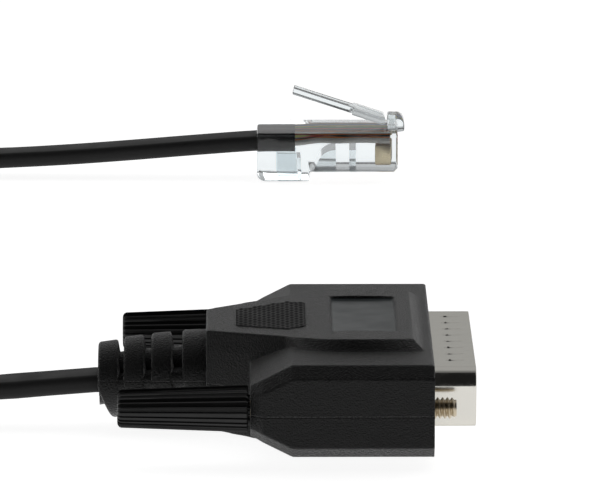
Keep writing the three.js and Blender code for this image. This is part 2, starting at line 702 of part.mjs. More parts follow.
// The hollows for the cord's jacket, the wires and the blades.
function plugWays() {
  const across = (from, to, halfWidth, middle, halfHeight) =>
    box(from, to, halfWidth, middle - halfHeight, middle + halfHeight);
  const jacketEnd = JACKET_DEPTH + GAP;
  const jacketHalf = CORD_THICKNESS / 2 + GAP;
  const jacketWell = across(-OUTSIDE, jacketEnd, CORD_WIDTH / 2 + GAP, JACKET_MIDDLE, jacketHalf);
  const wireEnd = WIRE_FRONT + GAP;
  const wireHalf = WIRE_RADIUS + HOLE_PLAY;
  const duct = across(JACKET_DEPTH, wireEnd, (WAYS * WAY_PITCH) / 2, WIRE_HEIGHT, wireHalf);
  const slotHalf = BLADE_THICKNESS / 2 + HOLE_PLAY;
  const slots = wayPlaces.map((y) =>
    box(BLADE_REAR - HOLE_PLAY, BLADE_FRONT + HOLE_PLAY, slotHalf, -OUTSIDE, WIRE_HEIGHT).translate(0, y, 0),
  );
  return [jacketWell, duct, ...slots];
}

// The windows that free the strain relief bar, and the hollow belly ahead of the step.
function plugHollows() {
  const barSides = [-1, 1].map((side) =>
    box(BAR_REAR, BAR_FRONT, BAR_WINDOW / 2, -OUTSIDE, JACKET_MIDDLE).translate(0, side * BAR_HALF_WIDTH, 0),
  );
  const barFront = box(
    BAR_FRONT, BAR_FRONT + BAR_WINDOW, BAR_HALF_WIDTH + BAR_WINDOW / 2, -OUTSIDE, BAR_WINDOW_TOP,
  );
  const bellySide = asVectors([
    [BELLY_REAR, -OUTSIDE],
    [BELLY_FRONT, -OUTSIDE],
    [BELLY_FRONT, BELLY_ROOF],
    [BELLY_FRONT - BELLY_ROOF_LENGTH, BELLY_ROOF],
    [BELLY_REAR, BELLY_RAMP_FOOT],
  ]);
  return [...barSides, barFront, slabAcross(bellySide, BELLY_HALF_WIDTH)];
}

function plugBody() {
  const block = (bottom, front) =>
    prism(rounded(rectangle(PLUG_HALF_WIDTH, bottom, PLUG_TOP), PLUG_CORNER, FINE_STEPS), 0, front);
  const nose = slabAcross(noseSide(), NOSE_HALF_WIDTH);
  const body = union([block(0, PLUG_STEP_AT), block(PLUG_STEP, PLUG_LENGTH), nose].map(solid));
  return surface(without(body, [...plugWays(), ...plugHollows()].map(solid)));
}

function latchTab() {
  const tip = new THREE.Vector2(TAB_TIP, TAB_TIP_TOP - TAB_THICKNESS / 2);
  const root = new THREE.Vector2(TAB_ROOT, TAB_ROOT_HEIGHT);
  const along = root.clone().sub(tip).normalize();
  const up = new THREE.Vector2(-along.y, along.x).multiplyScalar(TAB_THICKNESS / 2);
  const at = (x) => tip.clone().addScaledVector(along, (x - tip.x) / along.x);
  const plate = (from, halfWidth, roundRoot) => {
    const start = at(from);
    const side = [start.clone().sub(up)];
    const sweep = roundRoot ? ROOT_SIDES : 1;
    for (let i = 0; i <= sweep; i++) {
      const arm = up.clone().negate().rotateAround(new THREE.Vector2(), (Math.PI * i) / sweep);
      side.push(root.clone().add(arm));
    }
    side.push(start.clone().add(up));
    return solid(slabAcross(side, halfWidth));
  };
  return surface(plate(TAB_TIP, TAB_NARROW_HALF, true).add(plate(TAB_SHOULDER, TAB_WIDE_HALF, true)));
}

const blade = () => box(BLADE_REAR, BLADE_FRONT, BLADE_THICKNESS / 2, BLADE_BOTTOM, BLADE_TOP);
const wire = () => rod(WIRE_RADIUS, JACKET_DEPTH + GAP, WIRE_FRONT, WIRE_SIDES);

// Assembly

const cable = new THREE.Group();

function put(parent, name, geometry, look, at = [0, 0, 0]) {
  const mesh = new THREE.Mesh(geometry, new THREE.MeshStandardMaterial(look));
  mesh.name = name;
  mesh.position.set(...at);
  parent.add(mesh);
}

const connector = new THREE.Group();
connector.position.copy(HOOD_AT);
cable.add(connector);
put(connector, "moulded_hood", hood(), BLACK_PVC);
put(connector, "metal_shell", metalShell(), NICKEL);
put(connector, "pin_insulator", insulator(), INSULATOR_BLACK);
pinPlaces.forEach(([y, z], i) => {
  put(connector, `pin_${String(i + 1).padStart(2, "0")}`, pin(), GOLD, [0, y, z]);
});
for (const [name, side] of screwSides) {
  const at = [0, (side * SCREW_SPACING) / 2, 0];
  put(connector, `thumbscrew_knob_${name}`, knob(), KNOB_BLACK, at);
  put(connector, `thumbscrew_screw_${name}`, screw(), BRONZED_STEEL, at);
}

put(cable, "cord_hood_side", flatCord(HOOD_SIDE_ROUTE), CORD_BLACK);
put(cable, "cord_coil", coil(), CORD_BLACK, [...COIL_CENTRE, 0]);
put(cable, "cord_plug_side", flatCord(PLUG_SIDE_ROUTE), CORD_BLACK);

const plug = new THREE.Group();
plug.position.set(...PLUG_REAR, 0);
cable.add(plug);
put(plug, "plug_body", plugBody(), CLEAR);
put(plug, "plug_latch", latchTab(), CLEAR);
wayPlaces.forEach((y, i) => {
  put(plug, `contact_${i + 1}`, blade(), GOLD, [0, y, 0]);
  const look = { color: WIRE_COLOURS[i], roughness: 0.5, metalness: 0 };
  put(plug, `wire_${i + 1}`, wire(), look, [0, y, WIRE_HEIGHT]);
});

export default cable;
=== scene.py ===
import json
import math

import bmesh
import bpy
from mathutils import Matrix, Quaternion, Vector


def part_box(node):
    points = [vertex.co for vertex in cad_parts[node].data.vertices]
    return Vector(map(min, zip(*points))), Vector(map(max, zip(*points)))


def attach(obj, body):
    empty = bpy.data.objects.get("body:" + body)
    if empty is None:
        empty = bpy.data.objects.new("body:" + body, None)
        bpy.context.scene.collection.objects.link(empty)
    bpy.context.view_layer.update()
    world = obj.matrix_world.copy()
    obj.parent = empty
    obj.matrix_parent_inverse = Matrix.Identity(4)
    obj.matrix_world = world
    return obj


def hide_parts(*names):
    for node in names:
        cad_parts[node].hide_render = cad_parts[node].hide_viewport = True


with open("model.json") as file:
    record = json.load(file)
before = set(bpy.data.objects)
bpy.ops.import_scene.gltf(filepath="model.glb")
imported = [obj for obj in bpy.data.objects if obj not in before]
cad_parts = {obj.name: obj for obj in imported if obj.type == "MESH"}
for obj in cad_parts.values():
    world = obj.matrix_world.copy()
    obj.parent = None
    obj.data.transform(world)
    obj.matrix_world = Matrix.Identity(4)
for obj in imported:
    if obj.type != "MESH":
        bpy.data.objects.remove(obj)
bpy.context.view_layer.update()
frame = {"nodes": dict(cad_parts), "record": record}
NODES = frame["nodes"]

MM = 0.001
UP = Vector((0, 0, 1))
MERGE_DISTANCE = 0.002  # millimetres
SAME_PLANE = math.radians(1)
SHARP_CORNER = math.radians(50)
NOISE_RANGE = (0.3, 0.7)  # where nearly all values of the noise lie

# Where the moulded connector's own frame sits: x = 0 at its front edge, z = 0 at its parting plane
SHELL_REACH = 5.7 * MM
SHELL_LOW, SHELL_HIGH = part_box("metal_shell")
HOOD_ORIGIN = Vector((SHELL_HIGH.x - SHELL_REACH, 0, (SHELL_LOW.z + SHELL_HIGH.z) / 2))

PLUG_LOW, PLUG_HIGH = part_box("plug_body")
PLUG_ORIGIN = Vector((PLUG_LOW.x, (PLUG_LOW.y + PLUG_HIGH.y) / 2, PLUG_LOW.z))
ROOT = "connector_and_cord"

# Camera
CAMERA_AZIMUTH = math.radians(-0.44)
CAMERA_ELEVATION = math.radians(11.97)
CAMERA_DISTANCE = 1.0
CAMERA_RIGHT = -17.49 * MM
CAMERA_RISE = 15.91 * MM
CAMERA_LENS = 445.7
SENSOR_WIDTH = 36

# Stage
FLOOR_SIZE = 12
WORLD_DARK = (0.42, 0.015)  # place on the ramp from the near to the far side, and brightness there
WORLD_PALE = (0.62, 0.5)
LAMP_PLACE = (0.05, 0.95, 0.32)
LAMP_AIM = (0, 0.05, 0)
LAMP_WIDTH = 1.6
LAMP_HEIGHT = 0.25
LAMP_POWER = 0.14

# Flat cord
CORD_WIDTH = 6.4 * MM
CORD_THICKNESS = 2.4 * MM
CORD_CORNER = 0.95 * MM
CORD_STEP = 2.0 * MM
CORD_ROOT = 0.9 * MM  # how far the cord runs on inside the strain relief
CORNER_STEPS = 5

# The route from the strain relief to the coil: x, y, z in millimetres and the roll in degrees, where
# the flat cord lies flat at 0 and stands on its edge at 90
HOOD_SIDE_ROUTE = [
    (-25.55, 0, 6.1, 0),
    (-32, 0, 5.6, 0),
    (-38.5, 0, 5.1, 0),
    (-46, 0, 4.7, 12),
    (-54, 0, 4.4, 30),
    (-63, 0, 4.1, 50),
    (-72, 0, 3.8, 68),
    (-82, 0, 3.5, 82),
    (-92, 0.3, 3.3, 90),
    (-101, 2.2, 3.3, 90),
    (-110, 6.8, 3.3, 90),
    (-117, 13.5, 3.3, 90),
    (-121.8, 22.5, 3.3, 90),
    (-123.7, 33, 3.3, 90),
    (-124.1, 44, 3.3, 90),
    (-124.1, 56, 3.3, 90),
    (-124.1, 70.4, 3.3, 90),
]
# The route from the coil to the plug
PLUG_SIDE_ROUTE = [
    (-124.1, 99.6, 9.7, 90),
    (-124.1, 112, 8.5, 90),
    (-122.8, 124.5, 6.9, 90),
    (-119.6, 136, 5.5, 90),
    (-114, 147, 4.4, 90),
    (-106, 156.5, 3.7, 88),
    (-96, 163.6, 3.6, 80),
    (-85, 168, 3.6, 62),
    (-74, 169.7, 3.3, 42),
    (-63, 170, 2.7, 22),
    (-53, 170, 2.5, 6),
    (-44, 170, 2.7, 0),
    (-34, 170, 3.2, 0),
    (-24, 170, 3.9, 0),
    (-14, 170, 4.7, 0),
    (-6, 170, 5.3, 0),
    (-2, 170, 5.5, 0),
    (2.5, 170, 5.5, 0),
]

# The coil of put-away length: two layers of turns on edge, wound in and then out again
COIL_CENTRE = Vector((-86.7, 85)) * MM
COIL_INNER_RADIUS = 28.6 * MM
COIL_PITCH = 2.5 * MM
COIL_TURNS_PER_LAYER = 3.5
COIL_LOW = 3.3 * MM
COIL_HIGH = 9.8 * MM
COIL_STEP_TURNS = 0.25
COIL_POINTS_PER_TURN = 72

# The two straps that hold the coil, and that it lies on
TIE_ANGLES = [math.pi / 2, -math.pi / 2]
TIE_WIDTH = 10 * MM
TIE_THICKNESS = 0.4 * MM
TIE_TURNS = 3  # pitches between the innermost and the outermost turn there
TIE_PLAY = 0.05 * MM
TIE_RISE_TURNS = 0.2


# Moulded connector, in millimetres of its own frame
NECK_CUT = 30.1  # behind this the strain relief is built anew, with rounder collars
SKIN_VOXEL = 0.2
SKIN_EASING = 2
SKIN_KEPT = 0.4  # share of the faces that stays, most of it at edges and curves
NECK_SHOULDER = (14.9, 7.5)  # distance behind the front and height of the neck's flat top
NECK_REAR = (30.2, 6.75)
LABEL_ZONE = (-13.3, -4.7, 10.7)  # rear, front and half width of the label recess
LABEL_FLOOR = 7.15
LABEL_TOLERANCE = 0.2
SEAM_HEIGHT = -0.45
SEAM_HALF_WIDTH = 0.11
SEAM_DEPTH = 0.15

# Grip pattern on the neck's flat top
GRIP_CORNERS = [(26.1, 4.9), (19.1, 8.5), (16.8, 7.1)]  # distance behind the front, half width
GRIP_LIFT = 0.02
GRIP_DEPTH = 0.16
GRIP_PITCH_ALONG = 0.62
GRIP_PITCH_ACROSS = 0.75
GRIP_STEP = 0.11

# Strain relief
COLLAR_STARTS = [30.6, 34.75, 38.45, 41.9]
COLLAR_LENGTH = 2.7
COLLAR_HALF_WIDTHS = [6.2, 6.1, 5.95, 5.8]
COLLAR_HALF_HEIGHTS = [5.35, 5.3, 5.25, 5.05]
COLLAR_ROUND = 0.4
COLLAR_ROUND_STEPS = 4
COLLAR_SIDES = 72
RELIEF_END = 44.6
RELIEF_DROOP = 1.5
RELIEF_BEND = 1.4
RELIEF_RAKE = 0.38
CORE_START = 29.0
CORE_HALF_HEIGHT = 1.25
CORE_INSET = 0.15
TUBE_HALF_WIDTH = 3.6
TUBE_HALF_HEIGHT = 3.3

# D-shaped shell
SHELL_HALF_WIDTH = 19.48
SHELL_HEIGHT = 8.36
SHELL_FRONT = 5.7
SHELL_WALL = 0.45
SHELL_CORNER = 2.6
SHELL_ROOT = 0.25
SHELL_ROOT_STEPS = 5
SHELL_ROOT_GAP = 0.02
FLANGE_FACE = 0.01
FLAT_TOLERANCE = 0.01
SHELL_SIDE_ANGLE = math.radians(10)
SHELL_LIP = 0.15
SHELL_LIP_STEPS = 8
SHELL_CORNER_STEPS = 12
SHELL_REAR = -0.5
SHELL_MESH = 0.14
DIMPLES = 8
DIMPLE_PITCH = 3.83
DIMPLE_AT = 2.3
DIMPLE_RADIUS = 0.55
DIMPLE_DEPTH = 0.42
DIMPLE_STEEPNESS = 1.3
DIMPLE_NARROWING = 0.7
DIMPLE_TAIL = 4.4
DIMPLE_TAIL_DEPTH = 0.36

# Pins
PIN_RADIUS = 0.5
PIN_SIDES = 20
PIN_TIP_ANGLES = (20, 40, 60, 78)

# Thumbscrews
SCREW_REAR = -33
SHANK_RADIUS = 1.1
THREAD_START = -2.2
THREAD_END = 2.9
THREAD_PITCH = 0.635
THREAD_RADIUS = 1.42
THREAD_ROOT = 1.08
THREAD_FLANKS = 0.88  # share of the pitch that isn't root
THREAD_FLATTENING = 1.2
THREAD_POINT = 0.8
THREAD_SIDES = 36
THREAD_STEPS_PER_TURN = 10
KNOB_FRONT = 24.5
KNOB_LENGTH = 17.2
KNOB_FRONT_RADIUS = 3.15
KNOB_REAR_RADIUS = 2.5
KNOB_RIBS = 24
RIB_HEIGHT = 0.22
# A rib and its groove: share of the way to the next rib, and share of the rib's height
RIB_PROFILE = [
    (0.0, 1.0), (0.07, 0.8), (0.18, 0.05), (0.35, 0.0), (0.65, 0.0), (0.82, 0.05), (0.93, 0.8),
]
KNOB_ROUND = 0.6
KNOB_ROUND_STEPS = 5
KNOB_BODY_STEPS = 6
KNOB_CHAMFER = 0.2
BOSS_RADIUS = 1.8
BOSS_LENGTH = 0.26

# Plug, in millimetres from the middle of its rear face's underside
PLUG_LENGTH = 22.0
PLUG_HALF_WIDTH = 5.85
PLUG_TOP = 7.7
PLUG_STEP = 1.5
PLUG_STEP_AT = 8.2
PLUG_HEEL = 1.3
PLUG_TOE = 0.6
PLUG_CORNER = 0.35
LATCH_CORNER = 0.15
NOSE_START = 20.4
NOSE_FRONT = 23.1
NOSE_HALF_WIDTH = 2.95
NOSE_TOP = 9.55
NOSE_FOOT = 7.4
NOSE_ROUND = 1.1
NOSE_CORNER = 0.3
NOSE_SINK = 0.5  # how far its root reaches into the body
FILM = 0.03  # what is left of the plastic below an air space
BELLY_REAR = 8.8
BELLY_FRONT = 12.3
BELLY_CEILING = 4.7
BELLY_ARCH = 3.0
BELLY_HALF_WIDTH = 3.6
# Air spaces around the clamping bars: rear, front, floor, ceiling, half width and middle
BAR_SPACES = [
    (14.4, 15.4, PLUG_STEP + FILM, BELLY_CEILING, BELLY_HALF_WIDTH, 0),
    (3.2, 6.3, FILM, 4.1, 0.3, -2.6),
    (3.2, 6.3, FILM, 4.1, 0.3, 2.6),
    (6.35, 6.9, FILM, 3.4, 2.9, 0),
]
WAYS = 8
WAY_PITCH = 1.02
WIRE_HEIGHT = 6.2
WIRE_RADIUS = 0.42
WIRE_START = 5.4
WIRE_FRONT = 20.7
WIRE_STATIONS = 40
WIRE_SIDES = 16
WIRE_DIP = 0.5
# How the wires wander: by how much, radians per millimetre along x and radians from wire to wire
WIRE_SWAY = (0.06, 1.3, 2.1)
WIRE_BOB = (0.05, 0.9, 1.7)
JACKET_WAY_PITCH = 0.78
FAN_END = 11.0
WIRE_SLOTS = [
    f"wire_{colour}"
    for colour in ("brown", "blue", "yellow", "green", "red", "black", "orange", "white")
]
BLADE_REAR = 18.4
BLADE_FRONT = 20.9
BLADE_BOTTOM = 2.4
BLADE_TOP = 5.48
BLADE_THICKNESS = 0.34
BLADE_CORNER = 0.25
BLADE_EDGE = 0.05


# Curves


def catmull_rom(points, share):
    """The point of a smooth curve through the points, where share runs from 0 to their last index."""
    i = min(int(share), len(points) - 2)
    t = share - i
    before, here = points[max(i - 1, 0)], points[i]
    after, later = points[i + 1], points[min(i + 2, len(points) - 1)]
    return 0.5 * (
        2 * here
        + (after - before) * t
        + (2 * before - 5 * here + 4 * after - later) * t**2
        + (3 * here - before - 3 * after + later) * t**3
    )


def smoothstep(value):
    value = min(max(value, 0.0), 1.0)
    return value * value * (3 - 2 * value)


def route_points(route):
    """(place, roll) pairs along a given route, about CORD_STEP apart."""
    places = [Vector(p[:3]) * MM for p in route]
    rolls = [Vector((math.radians(p[3]), 0, 0)) for p in route]
    made = []
    for i, place in enumerate(places[:-1]):
        steps = max(1, round((places[i + 1] - place).length / CORD_STEP))
        for s in range(steps):
            made.append((catmull_rom(places, i + s / steps), catmull_rom(rolls, i + s / steps).x))
    made.append((places[-1], rolls[-1].x))
    return made


def coil_points():
    """(place, roll) pairs of the coil, clockwise seen from above: inwards below, outwards on top."""
    made = []
    steps = round(2 * COIL_TURNS_PER_LAYER * COIL_POINTS_PER_TURN)
    for s in range(steps + 1):
        turned = s / COIL_POINTS_PER_TURN
        from_middle = abs(turned - COIL_TURNS_PER_LAYER)
        whole = math.floor(from_middle)
        widening = smoothstep((from_middle - whole - COIL_STEP_TURNS) / (1 - 2 * COIL_STEP_TURNS))
        radius = COIL_INNER_RADIUS + COIL_PITCH * (whole + widening)
        rise = smoothstep(0.5 + (turned - COIL_TURNS_PER_LAYER) / (2 * COIL_STEP_TURNS))
        ends = min(turned, 2 * COIL_TURNS_PER_LAYER - turned)
        on_strap = TIE_THICKNESS * smoothstep(ends / TIE_RISE_TURNS)
        height = COIL_LOW + (COIL_HIGH - COIL_LOW) * rise + on_strap
        angle = math.pi - 2 * math.pi * turned
        place = Vector((
            COIL_CENTRE.x + radius * math.cos(angle),
            COIL_CENTRE.y + radius * math.sin(angle),
            height,
        ))
        made.append((place, math.pi / 2))
    return made


def rounded_section(half_width, half_height, corner, steps):
    """The outline of a rounded rectangle, as (across, up) pairs turning left."""
    made = []
    for quarter in range(4):
        turn = quarter * math.pi / 2
        side = (1, -1, -1, 1)[quarter]
        rise = (1, 1, -1, -1)[quarter]
        for s in range(steps + 1):
            angle = turn + s / steps * math.pi / 2
            made.append((
                side * (half_width - corner) + corner * math.cos(angle),
                rise * (half_height - corner) + corner * math.sin(angle),
            ))
    return made


# Meshes


def new_object(name, data):
    made = bpy.data.objects.new(name, data)
    bpy.context.scene.collection.objects.link(made)
    return made


def object_from(name, bm, smooth_below=None, origin=None, outward=True):
    """An object with the built mesh. Edges that bend by less than smooth_below degrees are shaded
    smooth. With an origin, the mesh is in millimetres from there."""
    if outward:
        bmesh.ops.recalc_face_normals(bm, faces=bm.faces)
    if origin is not None:
        bmesh.ops.scale(bm, vec=(MM, MM, MM), verts=bm.verts)
        bmesh.ops.translate(bm, vec=origin, verts=bm.verts)
    if smooth_below is not None:
        bend = math.radians(smooth_below)
        for face in bm.faces:
            face.smooth = True
        for edge in bm.edges:
            edge.smooth = len(edge.link_faces) == 2 and edge.calc_face_angle() < bend
    mesh = bpy.data.meshes.new(name)
    bm.to_mesh(mesh)
    bm.free()
    return new_object(name, mesh)


def add_loft(bm, rings, closed_ends=True):
    """Adds a skin over rings of points. Each ring has the same number of points."""
    rows = [[bm.verts.new(p) for p in ring] for ring in rings]
    for row, following in zip(rows, rows[1:]):
        for i in range(len(row)):
            j = (i + 1) % len(row)
            bm.faces.new((row[i], row[j], following[j], following[i]))
    if closed_ends:
        bm.faces.new(list(reversed(rows[0])))
        bm.faces.new(rows[-1])


def sweep(name, points, section):
    """A section of (across, up) pairs carried along (place, roll) points."""
    rings = []
    for i, (place, roll) in enumerate(points):
        ahead = (points[min(i + 1, len(points) - 1)][0] - points[max(i - 1, 0)][0]).normalized()
        left = UP.cross(ahead).normalized()
        rise = ahead.cross(left)
        spin = Quaternion(ahead, roll)
        left.rotate(spin)
        rise.rotate(spin)
        rings.append([place + left * across + rise * up for across, up in section])
    bm = bmesh.new()
    add_loft(bm, rings)
    return object_from(name, bm, smooth_below=40)


def cad_copy(name, origin):
    """A CAD node's mesh in millimetres from the origin, with its points merged."""
    bm = bmesh.new()
    bm.from_mesh(NODES[name].data)
    bmesh.ops.translate(bm, vec=-origin, verts=bm.verts)
    bmesh.ops.scale(bm, vec=(1 / MM, 1 / MM, 1 / MM), verts=bm.verts)
    bmesh.ops.remove_doubles(bm, verts=bm.verts, dist=MERGE_DISTANCE)
    return bm


def cut_away(bm, at, toward):
    """Removes what lies beyond the plane through at."""
    everything = bm.verts[:] + bm.edges[:] + bm.faces[:]
    bmesh.ops.bisect_plane(bm, geom=everything, plane_co=at, plane_no=toward, clear_outer=True)


def reskinned(bm):
    """The same shape in small faces, with its sharp edges eased."""
    mesh = bpy.data.meshes.new("rough")
    bm.to_mesh(mesh)
    bm.free()
    rough = new_object("rough", mesh)
    skin = rough.modifiers.new("skin", "REMESH")
    skin.mode = "VOXEL"
    skin.voxel_size = SKIN_VOXEL
    ease = rough.modifiers.new("ease", "SMOOTH")
    ease.factor = 0.5
    ease.iterations = SKIN_EASING
    thin = rough.modifiers.new("thin", "DECIMATE")
    thin.ratio = SKIN_KEPT
    made = bmesh.new()
    made.from_object(rough, bpy.context.evaluated_depsgraph_get())
    bpy.data.objects.remove(rough)
    return made


def bevelled(bm, width, segments):
    """Joins the mesh into whole flat faces and rounds its sharp edges."""
    bmesh.ops.dissolve_limit(bm, angle_limit=SAME_PLANE, verts=bm.verts, edges=bm.edges)
    sharp = [e for e in bm.edges if len(e.link_faces) == 2 and e.calc_face_angle() > SHARP_CORNER]
    bmesh.ops.bevel(
        bm, geom=sharp, offset=width, segments=segments, profile=0.5, affect="EDGES",
        clamp_overlap=True,
    )
    return bm


def ring(x, section):
    """A section of (y, z) pairs stood up at x."""
    return [Vector((x, y, z)) for y, z in section]


def circle(radius, sides, y=0.0, z=0.0):
    angles = [2 * math.pi * i / sides for i in range(sides)]
    return [(y + radius * math.cos(a), z + radius * math.sin(a)) for a in angles]


def rounded_polygon(corners, radius, steps):
    """A polygon of (y, z) corners, turning left, with every corner an arc."""
    made = []
    for i, corner in enumerate(corners):
        here = Vector(corner)
        before = (Vector(corners[i - 1]) - here).normalized()
        after = (Vector(corners[(i + 1) % len(corners)]) - here).normalized()
        half = before.angle(after) / 2
        centre = here + (before + after).normalized() * radius / math.sin(half)
        arm = here + before * radius / math.tan(half) - centre
        for s in range(steps + 1):
            spun = arm.copy()
            spun.rotate(Matrix.Rotation((math.pi - 2 * half) * s / steps, 2))
            made.append(centre + spun)
    return made


def lerp(a, b, share):
    return a + (b - a) * share


def quarter_turn(steps):
    return [s / steps * math.pi / 2 for s in range(steps + 1)]


# Materials


def material(name, colour, roughness, metallic=0.0, **inputs):
    made = bpy.data.materials.new(name)
    made.use_nodes = True
    shader = made.node_tree.nodes["Principled BSDF"]
    shader.inputs["Base Color"].default_value = (*colour, 1)
    shader.inputs["Roughness"].default_value = roughness
    shader.inputs["Metallic"].default_value = metallic
    for key, value in inputs.items():
        shader.inputs[key.replace("_", " ")].default_value = value
    return made


def shader_of(finish):
    return finish.node_tree.nodes["Principled BSDF"]


def place_of(finish):
    """The texture coordinate that stays with the piece, in metres."""
    nodes = finish.node_tree.nodes
    found = nodes.get("place") or nodes.new("ShaderNodeTexCoord")
    found.name = "place"
    return found.outputs["Object"]


def noise(finish, size, detail=2.0, stretch=(1, 1, 1)):
    """Noise whose features are about size millimetres across."""
    nodes, links = finish.node_tree.nodes, finish.node_tree.links
    mapping = nodes.new("ShaderNodeMapping")
    mapping.inputs["Scale"].default_value = stretch
    texture = nodes.new("ShaderNodeTexNoise")
    texture.inputs["Scale"].default_value = 1 / (size * MM)
    texture.inputs["Detail"].default_value = detail
    links.new(place_of(finish), mapping.inputs["Vector"])
    links.new(mapping.outputs["Vector"], texture.inputs["Vector"])
    return texture.outputs["Fac"]


def rough_surface(finish, height, depth):
    """Raises the surface by a texture, depth in millimetres, on top of what is there already."""
    nodes, links = finish.node_tree.nodes, finish.node_tree.links
    bump = nodes.new("ShaderNodeBump")
    bump.inputs["Distance"].default_value = depth * MM
    links.new(height, bump.inputs["Height"])
    normal = shader_of(finish).inputs["Normal"]
    if normal.is_linked:
        links.new(normal.links[0].from_socket, bump.inputs["Normal"])
    links.new(bump.outputs["Normal"], normal)


def varied_roughness(finish, fac, low, high):
    """Drives the shader's roughness between low and high by a texture."""
    nodes, links = finish.node_tree.nodes, finish.node_tree.links
    spread = nodes.new("ShaderNodeMapRange")
    spread.inputs["From Min"].default_value = NOISE_RANGE[0]
    spread.inputs["From Max"].default_value = NOISE_RANGE[1]
    spread.inputs["To Min"].default_value = low
    spread.inputs["To Max"].default_value = high
    links.new(fac, spread.inputs["Value"])
    links.new(spread.outputs["Result"], shader_of(finish).inputs["Roughness"])


def seam_height(finish):
    """One within the parting line around the hood, falling to nothing on both sides."""
    nodes, links = finish.node_tree.nodes, finish.node_tree.links
    split = nodes.new("ShaderNodeSeparateXYZ")
    links.new(place_of(finish), split.inputs["Vector"])
    offset = nodes.new("ShaderNodeMath")
    offset.operation = "SUBTRACT"
    offset.inputs[1].default_value = HOOD_ORIGIN.z + SEAM_HEIGHT * MM
    links.new(split.outputs["Z"], offset.inputs[0])
    distance = nodes.new("ShaderNodeMath")
    distance.operation = "ABSOLUTE"
    links.new(offset.outputs[0], distance.inputs[0])
    spread = nodes.new("ShaderNodeMapRange")
    spread.interpolation_type = "SMOOTHSTEP"
    spread.inputs["From Min"].default_value = SEAM_HALF_WIDTH * MM / 2
    spread.inputs["From Max"].default_value = SEAM_HALF_WIDTH * MM
    spread.inputs["To Min"].default_value = 1
    spread.inputs["To Max"].default_value = 0
    links.new(distance.outputs[0], spread.inputs["Value"])
    return spread.outputs["Result"]


def moulded(name, colour, roughness, grain, depth, mottle=4.0, spread=(-0.04, 0.05), **inputs):
    """Black plastic from an etched mould. Grain, depth and mottle are in millimetres, and the
    roughness varies by spread over the mottle."""
    made = material(name, colour, roughness, **inputs)
    rough_surface(made, noise(made, grain, detail=3.0), depth)
    varied_roughness(made, noise(made, mottle), roughness + spread[0], roughness + spread[1])
    return made


def plated(name, colour, roughness, streak, **inputs):
    """Metal with faint drawing marks along x."""
    made = material(name, colour, roughness, metallic=1.0, **inputs)
    rough_surface(made, noise(made, streak, detail=3.0, stretch=(0.06, 1, 1)), depth=0.002)
    varied_roughness(made, noise(made, 1.5), roughness * 0.8, roughness * 1.25)
    return made


def insulation(name, colour):
    made = material(name, colour, 0.4, Specular_IOR_Level=0.4)
    varied_roughness(made, noise(made, 0.8), 0.33, 0.47)
    return made


HOOD_PVC = moulded(
    "hood_pvc", (0.002, 0.0022, 0.0021), 0.48, 0.22, 0.22, mottle=0.26, spread=(-0.2, 0.02),
    IOR=1.35, Sheen_Weight=0.4, Sheen_Roughness=0.3,
)
rough_surface(HOOD_PVC, seam_height(HOOD_PVC), -SEAM_DEPTH)
LABEL_PVC = moulded(
    "label_floor", (0.008, 0.0145, 0.0165), 0.4, 0.3, 0.006, IOR=1.45,
    Specular_Tint=(0.88, 1, 1, 1),
)
GRIP_PVC = moulded("grip_pvc", (0.004, 0.004, 0.004), 0.5, 0.2, 0.01, IOR=1.2)
CORD_PVC = moulded("cord_pvc", (0.024, 0.024, 0.024), 0.5, 0.35, 0.012, IOR=1.2)
CLEAR = material("clear_plastic", (0.79, 0.83, 0.845), 0.06, Transmission_Weight=1.0, IOR=1.49)
rough_surface(CLEAR, noise(CLEAR, 3.0), depth=0.01)
STRAP = moulded("woven_strap", (0.01, 0.01, 0.011), 0.85, 0.5, 0.08, IOR=1.3, Sheen_Weight=0.3)
rough_surface(STRAP, noise(STRAP, 0.25, detail=1.0, stretch=(1, 1, 4)), depth=0.06)
FINISHES = {
    "hood_pvc": HOOD_PVC,
    "cord_pvc": CORD_PVC,
    "nickel": plated(
        "nickel", (0.64, 0.625, 0.58), 0.16, 0.12, Specular_Tint=(0.7, 0.7, 0.68, 1),
    ),
    "insulator": moulded("insulator", (0.012, 0.012, 0.012), 0.4, 0.4, 0.01),
    "knob_plastic": moulded("knob_plastic", (0.006, 0.006, 0.006), 0.34, 0.3, 0.006, IOR=1.4),
    "screw_steel": plated("screw_steel", (0.52, 0.45, 0.34), 0.3, 0.2),
    "gold": plated("gold", (0.78, 0.55, 0.22), 0.25, 0.1),
    "contact_gold": plated("contact_gold", (0.52, 0.44, 0.3), 0.3, 0.1),
    "clear_plastic": CLEAR,
    "wire_white": insulation("wire_white", (0.42, 0.41, 0.39)),
    "wire_brown": insulation("wire_brown", (0.13, 0.055, 0.02)),
    "wire_yellow": insulation("wire_yellow", (0.8, 0.68, 0.12)),
    "wire_green": insulation("wire_green", (0.14, 0.42, 0.1)),
    "wire_red": insulation("wire_red", (0.6, 0.1, 0.06)),
    "wire_black": insulation("wire_black", (0.012, 0.012, 0.012)),
    "wire_orange": insulation("wire_orange", (0.68, 0.2, 0.03)),
    "wire_blue": insulation("wire_blue", (0.04, 0.13, 0.38)),
}
SLOT_OF = {part["node"]: part["material_slot"] for part in frame["record"]["subparts"]}


def paint(piece, *finishes):
    """Gives a piece its finishes. Faces keep the numbers that pick one of them."""
    if piece.data.materials:
        piece.data.materials.clear()
    for finish in finishes:
        piece.data.materials.append(finish)


def dress(piece, body, *nodes):
    """The piece stands for the nodes: it takes their finish and rides on their body."""
    slot = SLOT_OF[nodes[0]]
    if not piece.data.materials:
        paint(piece, FINISHES[slot])
    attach(piece, body)
    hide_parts(*nodes)


# Stage


